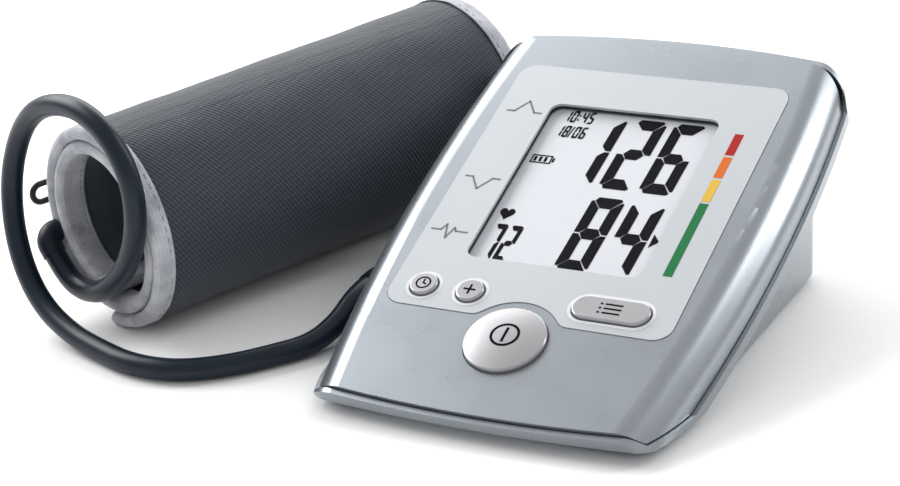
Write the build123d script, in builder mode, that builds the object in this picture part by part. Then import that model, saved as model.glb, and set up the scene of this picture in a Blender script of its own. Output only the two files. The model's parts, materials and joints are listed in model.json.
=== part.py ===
from build123d import *
import os
from math import asin, cos, degrees, pi, radians, sin, tan

# Upper arm blood pressure monitor: a wedge-shaped desk unit, its rolled arm cuff and the air hose.
# Millimetres. X runs to the right of the unit, Y away from the person who reads it, Z up.
# The table is z = 0, and the origin is the middle of the footprint of the unit and its cuff.

# Place of the unit, its sloping face and the plan outline of its body
UNIT_X = 50.0
UNIT_Y = -31.5
FACE_TILT = 20.0
FACE_HEIGHT = 25.0
HALF_WIDTH = 53.0
SIDE_RADIUS = 500.0
SIDE_MIDDLE = 32.0
SIDE_REACH = 100.0
END_REACH = 70.0
FRONT_EDGE = -51.7
FRONT_RADIUS = 405.0
FRONT_CORNER = 6.0
BACK_EDGE = 89.8
BACK_RADIUS = 315.0
BACK_CORNER = 11.0

# Top cover
COVER_DEPTH = 9.5
COVER_WALL = 2.0
SHOULDER = 9.0
EDGE_CLEAR = 0.05
SEAM = 0.35
FIT = 0.3

# Bottom case: its rim, which frames the cover, and the wedge-shaped tub under it
RIM_FRONT = 1.8
RIM_SIDE = 1.2
RIM_BACK = 2.5
RIM_STEP = 1.0
RIM_HEIGHT = 3.5
LIP_HEIGHT = 3.2
LIP_THICKNESS = 1.5
TUB_HALF_WIDTH = 47.0
TUB_FRONT = -45.0
TUB_BACK = 69.7
TUB_CORNER = 9.0
TUB_DRAFT = 2.0
TUB_EDGE = 1.2
CASE_WALL = 2.0
FOOT_HEIGHT = 1.2
TALL = 70.0

# Face plate, display and circuit board, all measured down from the face
PLATE_HALF_WIDTH = 39.6
PLATE_FRONT = -19.5
PLATE_BACK = 75.7
PLATE_CORNER = 5.0
PLATE_THICKNESS = 0.8
PLATE_RECESS = 0.6
PLATE_BAY_RADIUS = 13.75
PLATE_BAY_CORNER = 4.0
WINDOW_WIDTH = 49.2
WINDOW_LENGTH = 61.0
WINDOW_CORNER = 3.0
LENS_MARGIN = 2.0
LENS_THICKNESS = 1.0
PANEL_MARGIN = 1.4
PANEL_THICKNESS = 2.6
HOLDER_WALL = 3.0
BOARD_TOP = -6.2
BOARD_THICKNESS = 1.6
BOARD_HALF_WIDTH = 36.0
BOARD_FRONT = -36.0
BOARD_BACK = 70.0
POST_RADIUS = 2.0
POST_INSET = 4.5

# Buttons: places on the face, caps, running gap and the flange that holds them under the cover
START_AT = (-0.8, -27.0)
START_RADIUS = 10.75
MEMORY_AT = (22.0, -12.3)
MEMORY_LENGTH = 21.0
MEMORY_WIDTH = 7.8
PLUS_AT = (-17.1, -12.4)
TIME_AT = (-30.4, -12.4)
SMALL_RADIUS = 3.75
BUTTON_PROUD = 1.2
BUTTON_GAP = 0.3
BUTTON_EDGE = 0.5
START_DOME = 0.8
BUTTON_TRAVEL = 1.0
FLANGE_REACH = 1.2
FLANGE_THICKNESS = 1.0
STEM_RADIUS = 1.8
SWITCH_SIZE = 6.0
SWITCH_HEIGHT = 0.6
SWITCH_GAP = 0.2

# Case screws, their bosses and the rubber feet
BOSS_X = 42.2
BOSS_FRONT_Y = -22.0
BOSS_BACK_Y = 61.0
BOSS_RADIUS = 2.5
SCREW_RADIUS = 1.2
SCREW_HEAD_RADIUS = 2.2
SCREW_HEAD_HEIGHT = 1.4
SCREW_LENGTH = 9.0
FOOT_RADIUS = 4.0
FOOT_SEAT = 0.6
FOOT_X = 41.2
FOOT_FRONT_Y = -36.0
FOOT_BACK_Y = 51.0

# Battery bay for four AA cells, its door and its springs
CELL_RADIUS = 7.25
CELL_LENGTH = 49.5
CELL_NUB_RADIUS = 2.7
CELL_NUB_LENGTH = 1.0
CELL_PITCH = 15.1
CELL_COUNT = 4
BAY_LEFT = -22.0
BAY_FRONT = 9.5
BAY_WALL = 1.2
SPRING_LENGTH = 5.0
SPRING_RADIUS = 3.5
SPRING_WIRE = 0.5
CONTACT_THICKNESS = 0.4
DOOR_THICKNESS = 1.8
DOOR_INSET = 1.6
DOOR_TAB_WIDTH = 7.0
DOOR_TAB_REACH = 1.6
DOOR_TAB_THICKNESS = 1.0
DOOR_LEDGE = 1.6
LATCH_WIDTH = 16.0
LATCH_DEPTH = 5.0
LATCH_SLOT = 0.9
FINGER_RADIUS = 8.0
FINGER_DEPTH = 1.0

# Pump, valve and sensor
PUMP_X = -34.0
PUMP_RADIUS = 10.2
PUMP_FRONT = 27.0
PUMP_HEAD_LENGTH = 14.0
PUMP_HEAD_SIZE = 21.0
PUMP_MOTOR_LENGTH = 17.0
NOZZLE_RADIUS = 1.2
NOZZLE_LENGTH = 4.0
CRADLE_WIDTH = 3.0
VALVE_AT = (-31.0, 0.0)
VALVE_WIDTH = 12.0
VALVE_LENGTH = 16.0
VALVE_HEIGHT = 8.0
SENSOR_AT = (-8.0, 52.0)
SENSOR_SIZE = 8.0
SENSOR_HEIGHT = 3.2
BUZZER_AT = (27.0, -2.0)
BUZZER_RADIUS = 6.0
BUZZER_HEIGHT = 2.6

# Air socket in the left wall, and the plug of the hose
SOCKET_Y = 12.0
SOCKET_Z = 9.5
SOCKET_RADIUS = 4.5
SOCKET_BORE = 2.6
SOCKET_FLANGE_RADIUS = 5.0
SOCKET_FLANGE = 1.0
SOCKET_DEPTH = 8.0
PLUG_STEM_RADIUS = 2.55
PLUG_STEM_LENGTH = 7.0
PLUG_RADIUS = 4.2
PLUG_REACH = 7.5
PLUG_BEND = 4.6
PLUG_BARB_LENGTH = 8.0
TUBE_RADIUS = 2.2
TUBE_BORE = 1.3

# Air hose: the points of its route, from the plug to the elbow on the cuff, in this part's frame
HOSE_RADIUS = 3.0
HOSE_POINTS = [
    (-6.9, -27.5, 10.0),
    (-6.9, -34.5, 10.0),
    (-7.8, -42.5, 6.0),
    (-11.0, -51.5, 3.2),
    (-17.5, -60.0, 3.1),
    (-26.0, -69.5, 3.1),
    (-37.5, -76.5, 3.1),
    (-51.0, -77.1, 3.1),
    (-64.0, -72.7, 3.2),
    (-76.0, -68.5, 4.2),
    (-88.0, -63.5, 8.0),
    (-96.5, -59.0, 16.0),
    (-101.0, -55.3, 27.5),
    (-101.5, -52.5, 40.5),
    (-97.0, -52.1, 52.5),
    (-89.5, -54.3, 61.0),
    (-79.5, -57.7, 66.0),
    (-67.0, -62.3, 67.5),
    (-55.5, -66.3, 62.5),
    (-49.3, -68.1, 51.5),
    (-50.5, -67.1, 38.0),
    (-57.0, -64.3, 25.5),
    (-66.5, -60.1, 16.0),
    (-75.5, -56.1, 10.8),
    (-83.6, -53.1, 9.9),
    (-89.4, -50.7, 12.6),
    (-93.19, -49.33, 17.18),
]

# Cuff: a strip rolled into a loose spiral that lies on the table, behind the left of the unit
CUFF_X = -71.0
CUFF_Y = -45.5
CUFF_ANGLE = 67.5
CUFF_LENGTH = 114.0
CUFF_NEAR_RADIUS = 28.3
CUFF_FAR_RADIUS = 29.2
TAPE_WIDTH = 8.0
TAPE_THICKNESS = 0.3
SHELL_THICKNESS = 1.2
PAD_THICKNESS = 1.2
LINING_THICKNESS = 0.8
ROLL_STEP = 2.0
PORT_ANGLE = -21.0
ELBOW_RADIUS = 3.3
ELBOW_REACH = 4.2
ELBOW_BEND = 3.6
RING_WIRE = 0.9
RING_HEIGHT = 7.0
RING_REACH = 2.6
RING_TOP = 33.0
RING_GAP = 0.4
LOOP_LENGTH = 92.0
LOOP_THICKNESS = 0.9
LOOP_TAIL = 10.0
LOOP_GAP = 0.2

tilt = radians(FACE_TILT)
desk = Plane(origin=(UNIT_X, UNIT_Y, 0))
face = Plane(
    origin=(UNIT_X, UNIT_Y, FACE_HEIGHT),
    x_dir=(1, 0, 0),
    z_dir=(0, -sin(tilt), cos(tilt)),
)
up_face = Axis(face.origin, face.z_dir)
rear_wall = Plane(origin=desk.origin, x_dir=(1, 0, 0), z_dir=(0, -1, 0))
left_wall = Plane(origin=desk.origin, x_dir=(0, -1, 0), z_dir=(-1, 0, 0))
turn = radians(CUFF_ANGLE)
roll = Plane(
    origin=(CUFF_X, CUFF_Y, TAPE_THICKNESS),
    x_dir=(-sin(turn), cos(turn), 0),
    z_dir=(cos(turn), sin(turn), 0),
)


# Outlines and forms of the unit's body

def side_lines(half_width):
    """Closed outline whose two long sides are the body's gently bulging sides."""
    spread = degrees(asin(SIDE_REACH / SIDE_RADIUS))
    centre = half_width - SIDE_RADIUS
    right = CenterArc((centre, SIDE_MIDDLE), SIDE_RADIUS, -spread, 2 * spread)
    left = CenterArc((-centre, SIDE_MIDDLE), SIDE_RADIUS, 180 - spread, 2 * spread)
    Line(right @ 1, left @ 0)
    Line(left @ 1, right @ 0)


def end_lines(front, back):
    """Closed outline whose two short sides are the body's curved front and back."""
    front_spread = degrees(asin(END_REACH / FRONT_RADIUS))
    back_spread = degrees(asin(END_REACH / BACK_RADIUS))
    near = CenterArc((0, front + FRONT_RADIUS), FRONT_RADIUS, 270 - front_spread, 2 * front_spread)
    far = CenterArc((0, back - BACK_RADIUS), BACK_RADIUS, 90 - back_spread, 2 * back_spread)
    Line(near @ 1, far @ 0)
    Line(far @ 1, near @ 0)


def plan_outline(plane, half_width, front, back, front_corner, back_corner):
    """The body's plan on a plane that lies along the face."""
    with BuildSketch(plane) as outline:
        with BuildLine():
            side_lines(half_width)
        make_face()
        with BuildLine():
            end_lines(front, back)
        make_face(mode=Mode.INTERSECT)
        fillet(outline.vertices().group_by(Axis.Y)[0], front_corner)
        fillet(outline.vertices().group_by(Axis.Y)[-1], back_corner)
    return outline.sketch


def shoulder_block(inset, top, bottom=-COVER_DEPTH, grow_front=0.0, grow_back=0.0):
    """Solid block under the face with rounded shoulders, between two depths below the face."""
    with BuildPart() as block:
        with BuildSketch(face.offset(bottom)):
            with BuildLine():
                side_lines(HALF_WIDTH - inset)
            make_face()
        extrude(amount=top - bottom)
        crown = block.faces().sort_by(up_face)[-1]
        fillet(crown.edges().filter_by(GeomType.CIRCLE), SHOULDER - max(inset, -top))
        ends = plan_outline(
            face.offset(bottom),
            HALF_WIDTH - inset + EDGE_CLEAR,
            FRONT_EDGE + inset - grow_front,
            BACK_EDGE - inset + grow_back,
            FRONT_CORNER - inset,
            BACK_CORNER - inset,
        )
        extrude(ends, amount=top - bottom, mode=Mode.INTERSECT)
    return block.part


def tub_block(inset, bottom, height):
    """Drafted block with round corners that stands on a level plane."""
    with BuildPart() as block:
        with BuildSketch(desk.offset(bottom)):
            with Locations((0, (TUB_FRONT + TUB_BACK) / 2)):
                RectangleRounded(
                    2 * (TUB_HALF_WIDTH - inset),
                    TUB_BACK - TUB_FRONT - 2 * inset,
                    TUB_CORNER - inset,
                )
        extrude(amount=height, taper=-TUB_DRAFT)
    return block.part


def plate_outline(plane, grow):
    """The face plate's outline, grown by a clearance, with the bay that it leaves round the start button."""
    with BuildSketch(plane) as outline:
        with Locations((0, plate_middle)):
            RectangleRounded(
                2 * (PLATE_HALF_WIDTH + grow),
                PLATE_BACK - PLATE_FRONT + 2 * grow,
                PLATE_CORNER + grow,
            )
        with Locations(START_AT):
            Circle(PLATE_BAY_RADIUS - grow, mode=Mode.SUBTRACT)
        bay_corners = outline.vertices().group_by(Axis.Y)[0].sort_by(Axis.X)[1:3]
        fillet(bay_corners, PLATE_BAY_CORNER + grow)
    return outline.sketch


def pill(at, length, width):
    """Pill-shaped outline on the face."""
    with Locations(at):
        SlotOverall(length, width)


# Places that several pieces share
window_centre = (0, WINDOW_LENGTH / 2)
floor_top = FOOT_HEIGHT + CASE_WALL
lip_top = LIP_HEIGHT + LIP_THICKNESS
bay_width = CELL_COUNT * CELL_PITCH
bay_length = CELL_LENGTH + CELL_NUB_LENGTH + SPRING_LENGTH + 2 * CONTACT_THICKNESS
cell_z = FOOT_HEIGHT + DOOR_THICKNESS + FIT + CELL_RADIUS
bay_top = cell_z + CELL_RADIUS + FIT
bay_centre_x = BAY_LEFT + bay_width / 2
bay_centre_y = BAY_FRONT + bay_length / 2
door_width = bay_width - 2 * DOOR_INSET - 2 * FIT
door_length = bay_length - 2 * DOOR_INSET - 2 * FIT
door_front = bay_centre_y - door_length / 2
door_back = bay_centre_y + door_length / 2
boss_spots = [(x, y) for x in (-BOSS_X, BOSS_X) for y in (BOSS_FRONT_Y, BOSS_BACK_Y)]
foot_spots = [(x, y) for x in (-FOOT_X, FOOT_X) for y in (FOOT_FRONT_Y, FOOT_BACK_Y)]
round_buttons = [(START_AT, START_RADIUS), (PLUS_AT, SMALL_RADIUS), (TIME_AT, SMALL_RADIUS)]
button_spots = [START_AT, MEMORY_AT, PLUS_AT, TIME_AT]
plate_middle = (PLATE_FRONT + PLATE_BACK) / 2
pump_z = floor_top + PUMP_HEAD_SIZE / 2 + FIT
motor_front = PUMP_FRONT + PUMP_HEAD_LENGTH

pieces = {}

# Screw bosses of the cover, which stand on the bosses of the case
with BuildPart() as cover_bosses:
    with BuildSketch(desk.offset(floor_top + SCREW_LENGTH / 2)):
        with Locations(boss_spots):
            Circle(BOSS_RADIUS)
            Circle(SCREW_RADIUS, mode=Mode.SUBTRACT)
    extrude(amount=TALL)
    split(bisect_by=face.offset(-COVER_WALL), keep=Keep.BOTTOM)

# Top cover: a thin shell with rounded shoulders, a recess for the face plate and the button holes
with BuildPart() as top_cover:
    add(shoulder_block(0.0, 0.0))
    add(shoulder_block(COVER_WALL, -COVER_WALL), mode=Mode.SUBTRACT)
    extrude(plate_outline(face.offset(-PLATE_RECESS), FIT / 2), amount=PLATE_RECESS, mode=Mode.SUBTRACT)
    with BuildSketch(face.offset(-PLATE_RECESS - LENS_THICKNESS)):
        with Locations(window_centre):
            RectangleRounded(
                WINDOW_WIDTH + 2 * LENS_MARGIN + FIT,
                WINDOW_LENGTH + 2 * LENS_MARGIN + FIT,
                WINDOW_CORNER,
            )
    extrude(amount=LENS_THICKNESS + PLATE_RECESS, mode=Mode.SUBTRACT)
    with BuildSketch(face):
        with Locations(window_centre):
            RectangleRounded(WINDOW_WIDTH, WINDOW_LENGTH, WINDOW_CORNER)
        for spot, radius in round_buttons:
            with Locations(spot):
                Circle(radius + BUTTON_GAP)
        pill(MEMORY_AT, MEMORY_LENGTH + 2 * BUTTON_GAP, MEMORY_WIDTH + 2 * BUTTON_GAP)
    extrude(amount=-COVER_WALL - FIT, mode=Mode.SUBTRACT)
    with BuildSketch(face.offset(-COVER_WALL)):
        with Locations((0, (BOARD_FRONT + BOARD_BACK) / 2)):
            with GridLocations(
                2 * (BOARD_HALF_WIDTH - POST_INSET), BOARD_BACK - BOARD_FRONT - 2 * POST_INSET, 2, 2
            ):
                Circle(POST_RADIUS)
    extrude(amount=BOARD_TOP + COVER_WALL)
    split(bisect_by=desk.offset(lip_top + FIT), keep=Keep.TOP)
    add(cover_bosses.part)
pieces["top_cover"] = top_cover

# Bottom case: the rim, the lip and the tub with its battery bay
with BuildPart() as rim:
    add(
        shoulder_block(
            -RIM_SIDE, -RIM_STEP, -COVER_DEPTH - RIM_HEIGHT, RIM_FRONT - RIM_SIDE, RIM_BACK - RIM_SIDE
        )
    )
    split(bisect_by=desk.offset(LIP_HEIGHT), keep=Keep.TOP)

with BuildPart() as cover_room:
    cover_plan = plan_outline(
        face.offset(-COVER_DEPTH - SEAM),
        HALF_WIDTH + RIM_SIDE + FIT,
        FRONT_EDGE - SEAM,
        BACK_EDGE + SEAM,
        FRONT_CORNER,
        BACK_CORNER,
    )
    extrude(cover_plan, amount=2 * COVER_DEPTH)
    split(bisect_by=desk.offset(lip_top), keep=Keep.TOP)

with BuildPart() as rim_room:
    inner_plan = plan_outline(
        face.offset(-COVER_DEPTH - RIM_HEIGHT + CASE_WALL),
        HALF_WIDTH - COVER_WALL,
        FRONT_EDGE + COVER_WALL,
        BACK_EDGE - COVER_WALL,
        FRONT_CORNER - COVER_WALL,
        BACK_CORNER - COVER_WALL,
    )
    extrude(inner_plan, amount=RIM_HEIGHT)
    split(bisect_by=desk.offset(lip_top), keep=Keep.TOP)

with BuildPart() as bottom_case:
    add(tub_block(0.0, FOOT_HEIGHT, TALL))
    split(bisect_by=face.offset(-COVER_DEPTH - RIM_HEIGHT / 2), keep=Keep.BOTTOM)
    add(tub_block(0.0, FOOT_HEIGHT, lip_top - FOOT_HEIGHT))
    chamfer(bottom_case.faces().sort_by(Axis.Z)[0].edges(), TUB_EDGE)
    add(rim.part)
    add(cover_room.part, mode=Mode.SUBTRACT)
    add(rim_room.part, mode=Mode.SUBTRACT)
    add(tub_block(CASE_WALL, floor_top, TALL), mode=Mode.SUBTRACT)
    # battery bay: an upside-down box on the floor, open below where the door closes it
    with BuildSketch(desk.offset(FOOT_HEIGHT + CASE_WALL)):
        with Locations((bay_centre_x, bay_centre_y)):
            Rectangle(bay_width + 2 * BAY_WALL, bay_length + 2 * BAY_WALL)
    extrude(amount=bay_top + BAY_WALL - FOOT_HEIGHT - CASE_WALL)
    with BuildSketch(desk.offset(FOOT_HEIGHT + DOOR_LEDGE)):
        with Locations((bay_centre_x, bay_centre_y)):
            Rectangle(bay_width, bay_length)
    extrude(amount=bay_top - FOOT_HEIGHT - DOOR_LEDGE, mode=Mode.SUBTRACT)
    with BuildSketch(desk):
        with Locations((bay_centre_x, bay_centre_y)):
            Rectangle(bay_width - 2 * DOOR_INSET, bay_length - 2 * DOOR_INSET)
    extrude(amount=FOOT_HEIGHT + CASE_WALL + FIT, mode=Mode.SUBTRACT)
    # finger recess behind the door's latch
    with BuildSketch(desk):
        with Locations((bay_centre_x, door_back)):
            Circle(FINGER_RADIUS)
    extrude(amount=FOOT_HEIGHT + FINGER_DEPTH, mode=Mode.SUBTRACT)
    # saddles that carry the pump
    with BuildSketch(desk.offset(floor_top)):
        with Locations((PUMP_X, motor_front + PUMP_MOTOR_LENGTH / 2)):
            with GridLocations(0, PUMP_MOTOR_LENGTH - 2 * CRADLE_WIDTH, 1, 2):
                Rectangle(PUMP_HEAD_SIZE, CRADLE_WIDTH)
    extrude(amount=PUMP_RADIUS)
    with BuildSketch(rear_wall.offset(-motor_front)):
        with Locations((PUMP_X, pump_z)):
            Circle(PUMP_RADIUS + FIT / 3)
    extrude(amount=-PUMP_MOTOR_LENGTH, mode=Mode.SUBTRACT)
    # bosses, screw holes, head recesses and the seats of the feet
    with BuildSketch(desk.offset(floor_top - FIT)):
        with Locations(boss_spots):
            Circle(BOSS_RADIUS)
    extrude(amount=SCREW_LENGTH / 2 + FIT)
    with BuildSketch(desk):
        with Locations(boss_spots):
            Circle(SCREW_RADIUS + FIT / 3)
    extrude(amount=floor_top + SCREW_LENGTH / 2, mode=Mode.SUBTRACT)
    with BuildSketch(desk):
        with Locations(boss_spots):
            Circle(SCREW_HEAD_RADIUS + FIT)
    extrude(amount=FOOT_HEIGHT + SCREW_HEAD_HEIGHT + FIT, mode=Mode.SUBTRACT)
    with BuildSketch(desk):
        with Locations(foot_spots):
            Circle(FOOT_RADIUS)
    extrude(amount=FOOT_HEIGHT + FOOT_SEAT, mode=Mode.SUBTRACT)
    # hole for the air socket
    with BuildSketch(left_wall.offset(TUB_HALF_WIDTH - 3 * CASE_WALL)):
        with Locations((-SOCKET_Y, SOCKET_Z)):
            Circle(SOCKET_RADIUS)
    extrude(amount=6 * CASE_WALL, mode=Mode.SUBTRACT)
pieces["bottom_case"] = bottom_case

# Rubber feet and case screws
with BuildPart() as rubber_feet:
    with BuildSketch(desk):
        with Locations(foot_spots):
            Circle(FOOT_RADIUS)
    extrude(amount=FOOT_HEIGHT + FOOT_SEAT)
    chamfer(rubber_feet.faces().filter_by(Axis.Z).group_by(Axis.Z)[0].edges(), FOOT_SEAT)
pieces["rubber_feet"] = rubber_feet

with BuildPart() as case_screws:
    with BuildSketch(desk.offset(FOOT_HEIGHT + FIT)):
        with Locations(boss_spots):
            Circle(SCREW_HEAD_RADIUS)
    extrude(amount=SCREW_HEAD_HEIGHT)
    with BuildSketch(desk.offset(FOOT_HEIGHT + FIT + SCREW_HEAD_HEIGHT)):
        with Locations(boss_spots):
            Circle(SCREW_RADIUS)
    extrude(amount=SCREW_LENGTH)
pieces["case_screws"] = case_screws

# Face plate, window lens, display panel, its holder and the circuit board
with BuildPart() as face_plate:
    extrude(plate_outline(face.offset(-PLATE_RECESS), 0.0), amount=PLATE_THICKNESS)
    with BuildSketch(face.offset(-PLATE_RECESS)):
        with Locations(window_centre):
            RectangleRounded(WINDOW_WIDTH, WINDOW_LENGTH, WINDOW_CORNER)
        for spot in (PLUS_AT, TIME_AT):
            with Locations(spot):
                Circle(SMALL_RADIUS + BUTTON_GAP)
        pill(MEMORY_AT, MEMORY_LENGTH + 2 * BUTTON_GAP, MEMORY_WIDTH + 2 * BUTTON_GAP)
    extrude(amount=PLATE_THICKNESS, mode=Mode.SUBTRACT)
pieces["face_plate"] = face_plate

with BuildPart() as window_lens:
    with BuildSketch(face.offset(-PLATE_RECESS - LENS_THICKNESS)):
        with Locations(window_centre):
            RectangleRounded(WINDOW_WIDTH + 2 * LENS_MARGIN, WINDOW_LENGTH + 2 * LENS_MARGIN, WINDOW_CORNER)
    extrude(amount=LENS_THICKNESS)
pieces["window_lens"] = window_lens

panel_width = WINDOW_WIDTH + 2 * PANEL_MARGIN
panel_length = WINDOW_LENGTH + 2 * PANEL_MARGIN
with BuildPart() as display_panel:
    with BuildSketch(face.offset(-COVER_WALL)):
        with Locations(window_centre):
            Rectangle(panel_width, panel_length)
    extrude(amount=-PANEL_THICKNESS)
pieces["display_panel"] = display_panel

with BuildPart() as display_holder:
    with BuildSketch(face.offset(-COVER_WALL)):
        with Locations(window_centre):
            RectangleRounded(panel_width + 2 * HOLDER_WALL, panel_length + 2 * HOLDER_WALL, HOLDER_WALL)
            Rectangle(panel_width + FIT, panel_length + FIT, mode=Mode.SUBTRACT)
    extrude(amount=BOARD_TOP + COVER_WALL)
pieces["display_holder"] = display_holder

with BuildPart() as contact_strip:
    with BuildSketch(face.offset(-COVER_WALL - PANEL_THICKNESS)):
        with Locations((0, HOLDER_WALL - PANEL_MARGIN)):
            Rectangle(panel_width - 2 * PANEL_MARGIN, HOLDER_WALL)
    extrude(amount=BOARD_TOP + COVER_WALL + PANEL_THICKNESS)
pieces["contact_strip"] = contact_strip

with BuildPart() as circuit_board:
    with BuildSketch(face.offset(BOARD_TOP)):
        with Locations((0, (BOARD_FRONT + BOARD_BACK) / 2)):
            RectangleRounded(2 * BOARD_HALF_WIDTH, BOARD_BACK - BOARD_FRONT, PLATE_CORNER)
    extrude(amount=-BOARD_THICKNESS)
pieces["circuit_board"] = circuit_board

with BuildPart() as button_switches:
    with BuildSketch(face.offset(BOARD_TOP)):
        with Locations(button_spots):
            RectangleRounded(SWITCH_SIZE, SWITCH_SIZE, BUTTON_EDGE)
    extrude(amount=SWITCH_HEIGHT)
pieces["button_switches"] = button_switches

board_bottom = BOARD_TOP - BOARD_THICKNESS
with BuildPart() as pressure_sensor:
    with BuildSketch(face.offset(board_bottom)):
        with Locations(SENSOR_AT):
            RectangleRounded(SENSOR_SIZE, SENSOR_SIZE, BUTTON_EDGE)
    extrude(amount=-SENSOR_HEIGHT)
    with BuildSketch(face.offset(board_bottom - SENSOR_HEIGHT)):
        with Locations(SENSOR_AT):
            Circle(NOZZLE_RADIUS)
    extrude(amount=-NOZZLE_LENGTH / 2)
pieces["pressure_sensor"] = pressure_sensor

with BuildPart() as buzzer:
    with BuildSketch(face.offset(board_bottom)):
        with Locations(BUZZER_AT):
            Circle(BUZZER_RADIUS)
    extrude(amount=-BUZZER_HEIGHT)
pieces["buzzer"] = buzzer


# Buttons: a cap through the cover, a flange under it and a stem over its switch

def button(draw_cap, draw_flange, spot, radius=0.0, dome=0.0):
    """Button with a softened cap, flat or domed, held under the cover by its flange."""
    flange_top = -COVER_WALL - SWITCH_GAP / 2
    stem_end = BOARD_TOP + SWITCH_HEIGHT + BUTTON_TRAVEL + SWITCH_GAP
    with BuildPart() as key:
        with BuildSketch(face.offset(flange_top - FLANGE_THICKNESS)):
            draw_cap()
        extrude(amount=BUTTON_PROUD + dome - flange_top + FLANGE_THICKNESS)
        if dome:
            sphere_radius = (radius**2 + dome**2) / (2 * dome)
            sphere_centre = face.from_local_coords(Vector(*spot, BUTTON_PROUD + dome - sphere_radius))
            with Locations(sphere_centre):
                Sphere(sphere_radius, mode=Mode.INTERSECT)
        fillet(key.faces().sort_by(up_face)[-1].edges(), BUTTON_EDGE)
        with BuildSketch(face.offset(flange_top)):
            draw_flange()
        extrude(amount=-FLANGE_THICKNESS)
        with BuildSketch(face.offset(flange_top - FLANGE_THICKNESS)):
            with Locations(spot):
                Circle(STEM_RADIUS)
        extrude(amount=stem_end - flange_top + FLANGE_THICKNESS)
    return key


def round_button(spot, radius, dome=0.0):
    """Button with a round cap."""
    def cap():
        with Locations(spot):
            Circle(radius)

    def flange():
        with Locations(spot):
            Circle(radius + FLANGE_REACH)

    return button(cap, flange, spot, radius, dome)


pieces["start_button"] = round_button(START_AT, START_RADIUS, START_DOME)
pieces["plus_button"] = round_button(PLUS_AT, SMALL_RADIUS)
pieces["time_button"] = round_button(TIME_AT, SMALL_RADIUS)
pieces["memory_button"] = button(
    lambda: pill(MEMORY_AT, MEMORY_LENGTH, MEMORY_WIDTH),
    lambda: pill(MEMORY_AT, MEMORY_LENGTH + 2 * FLANGE_REACH, MEMORY_WIDTH + 2 * FLANGE_REACH),
    MEMORY_AT,
)

# Battery cells, side by side along Y, with the nubs at the back
cell_xs = [BAY_LEFT + CELL_PITCH * (index + 0.5) for index in range(CELL_COUNT)]
cell_front = BAY_FRONT + CONTACT_THICKNESS + SPRING_LENGTH
with BuildPart() as battery_cells:
    with BuildSketch(rear_wall.offset(-cell_front)):
        for x in cell_xs:
            with Locations((x, cell_z)):
                Circle(CELL_RADIUS)
    extrude(amount=-CELL_LENGTH)
    with BuildSketch(rear_wall.offset(-cell_front - CELL_LENGTH)):
        for x in cell_xs:
            with Locations((x, cell_z)):
                Circle(CELL_NUB_RADIUS)
    extrude(amount=-CELL_NUB_LENGTH)
pieces["battery_cells"] = battery_cells

# Contacts: a plate at each end of the bay, with a spring for each cell on the front one
with BuildPart() as battery_contacts:
    with BuildSketch(rear_wall.offset(-BAY_FRONT)):
        with Locations((bay_centre_x, cell_z)):
            Rectangle(bay_width - FIT, 2 * SPRING_RADIUS + FIT)
    extrude(amount=-CONTACT_THICKNESS)
    with BuildSketch(rear_wall.offset(-BAY_FRONT - CONTACT_THICKNESS)):
        for x in cell_xs:
            with Locations((x, cell_z)):
                Circle(SPRING_RADIUS)
                Circle(SPRING_RADIUS - SPRING_WIRE, mode=Mode.SUBTRACT)
    extrude(amount=-SPRING_LENGTH)
    with BuildSketch(rear_wall.offset(-BAY_FRONT - bay_length + CONTACT_THICKNESS)):
        with Locations((bay_centre_x, cell_z)):
            Rectangle(bay_width - FIT, 2 * SPRING_RADIUS + FIT)
    extrude(amount=-CONTACT_THICKNESS)
pieces["battery_contacts"] = battery_contacts

# Battery door: a panel in the floor with two tabs at the front and a springy latch at the back
with BuildPart() as battery_door:
    with BuildSketch(desk.offset(FOOT_HEIGHT)):
        with Locations((bay_centre_x, bay_centre_y)):
            Rectangle(door_width, door_length)
        with Locations((bay_centre_x, door_back - LATCH_DEPTH / 2)):
            with GridLocations(LATCH_WIDTH, 0, 2, 1):
                Rectangle(LATCH_SLOT, LATCH_DEPTH, mode=Mode.SUBTRACT)
    extrude(amount=DOOR_THICKNESS)
    with BuildSketch(desk.offset(FOOT_HEIGHT + DOOR_THICKNESS)):
        with Locations((bay_centre_x, door_front)):
            with GridLocations(bay_width / 2, 0, 2, 1):
                Rectangle(DOOR_TAB_WIDTH, 2 * DOOR_TAB_REACH)
    extrude(amount=DOOR_TAB_THICKNESS)
pieces["battery_door"] = battery_door

# Pump: motor and pump head in line, on the saddles of the case
with BuildPart() as pump_motor:
    with BuildSketch(rear_wall.offset(-motor_front)):
        with Locations((PUMP_X, pump_z)):
            Circle(PUMP_RADIUS)
    extrude(amount=-PUMP_MOTOR_LENGTH)
    chamfer(pump_motor.faces().sort_by(Axis.Y)[-1].edges(), BUTTON_EDGE)
pieces["pump_motor"] = pump_motor

with BuildPart() as pump_head:
    with BuildSketch(rear_wall.offset(-PUMP_FRONT)):
        with Locations((PUMP_X, pump_z)):
            RectangleRounded(PUMP_HEAD_SIZE, PUMP_HEAD_SIZE, PLATE_CORNER)
    extrude(amount=-PUMP_HEAD_LENGTH)
    with BuildSketch(rear_wall.offset(-PUMP_FRONT)):
        with Locations((PUMP_X, SOCKET_Z)):
            Circle(NOZZLE_RADIUS)
    extrude(amount=NOZZLE_LENGTH)
pieces["pump_head"] = pump_head

with BuildPart() as release_valve:
    with BuildSketch(desk.offset(floor_top)):
        with Locations(VALVE_AT):
            RectangleRounded(VALVE_WIDTH, VALVE_LENGTH, BUTTON_EDGE)
    extrude(amount=VALVE_HEIGHT)
pieces["release_valve"] = release_valve

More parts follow.
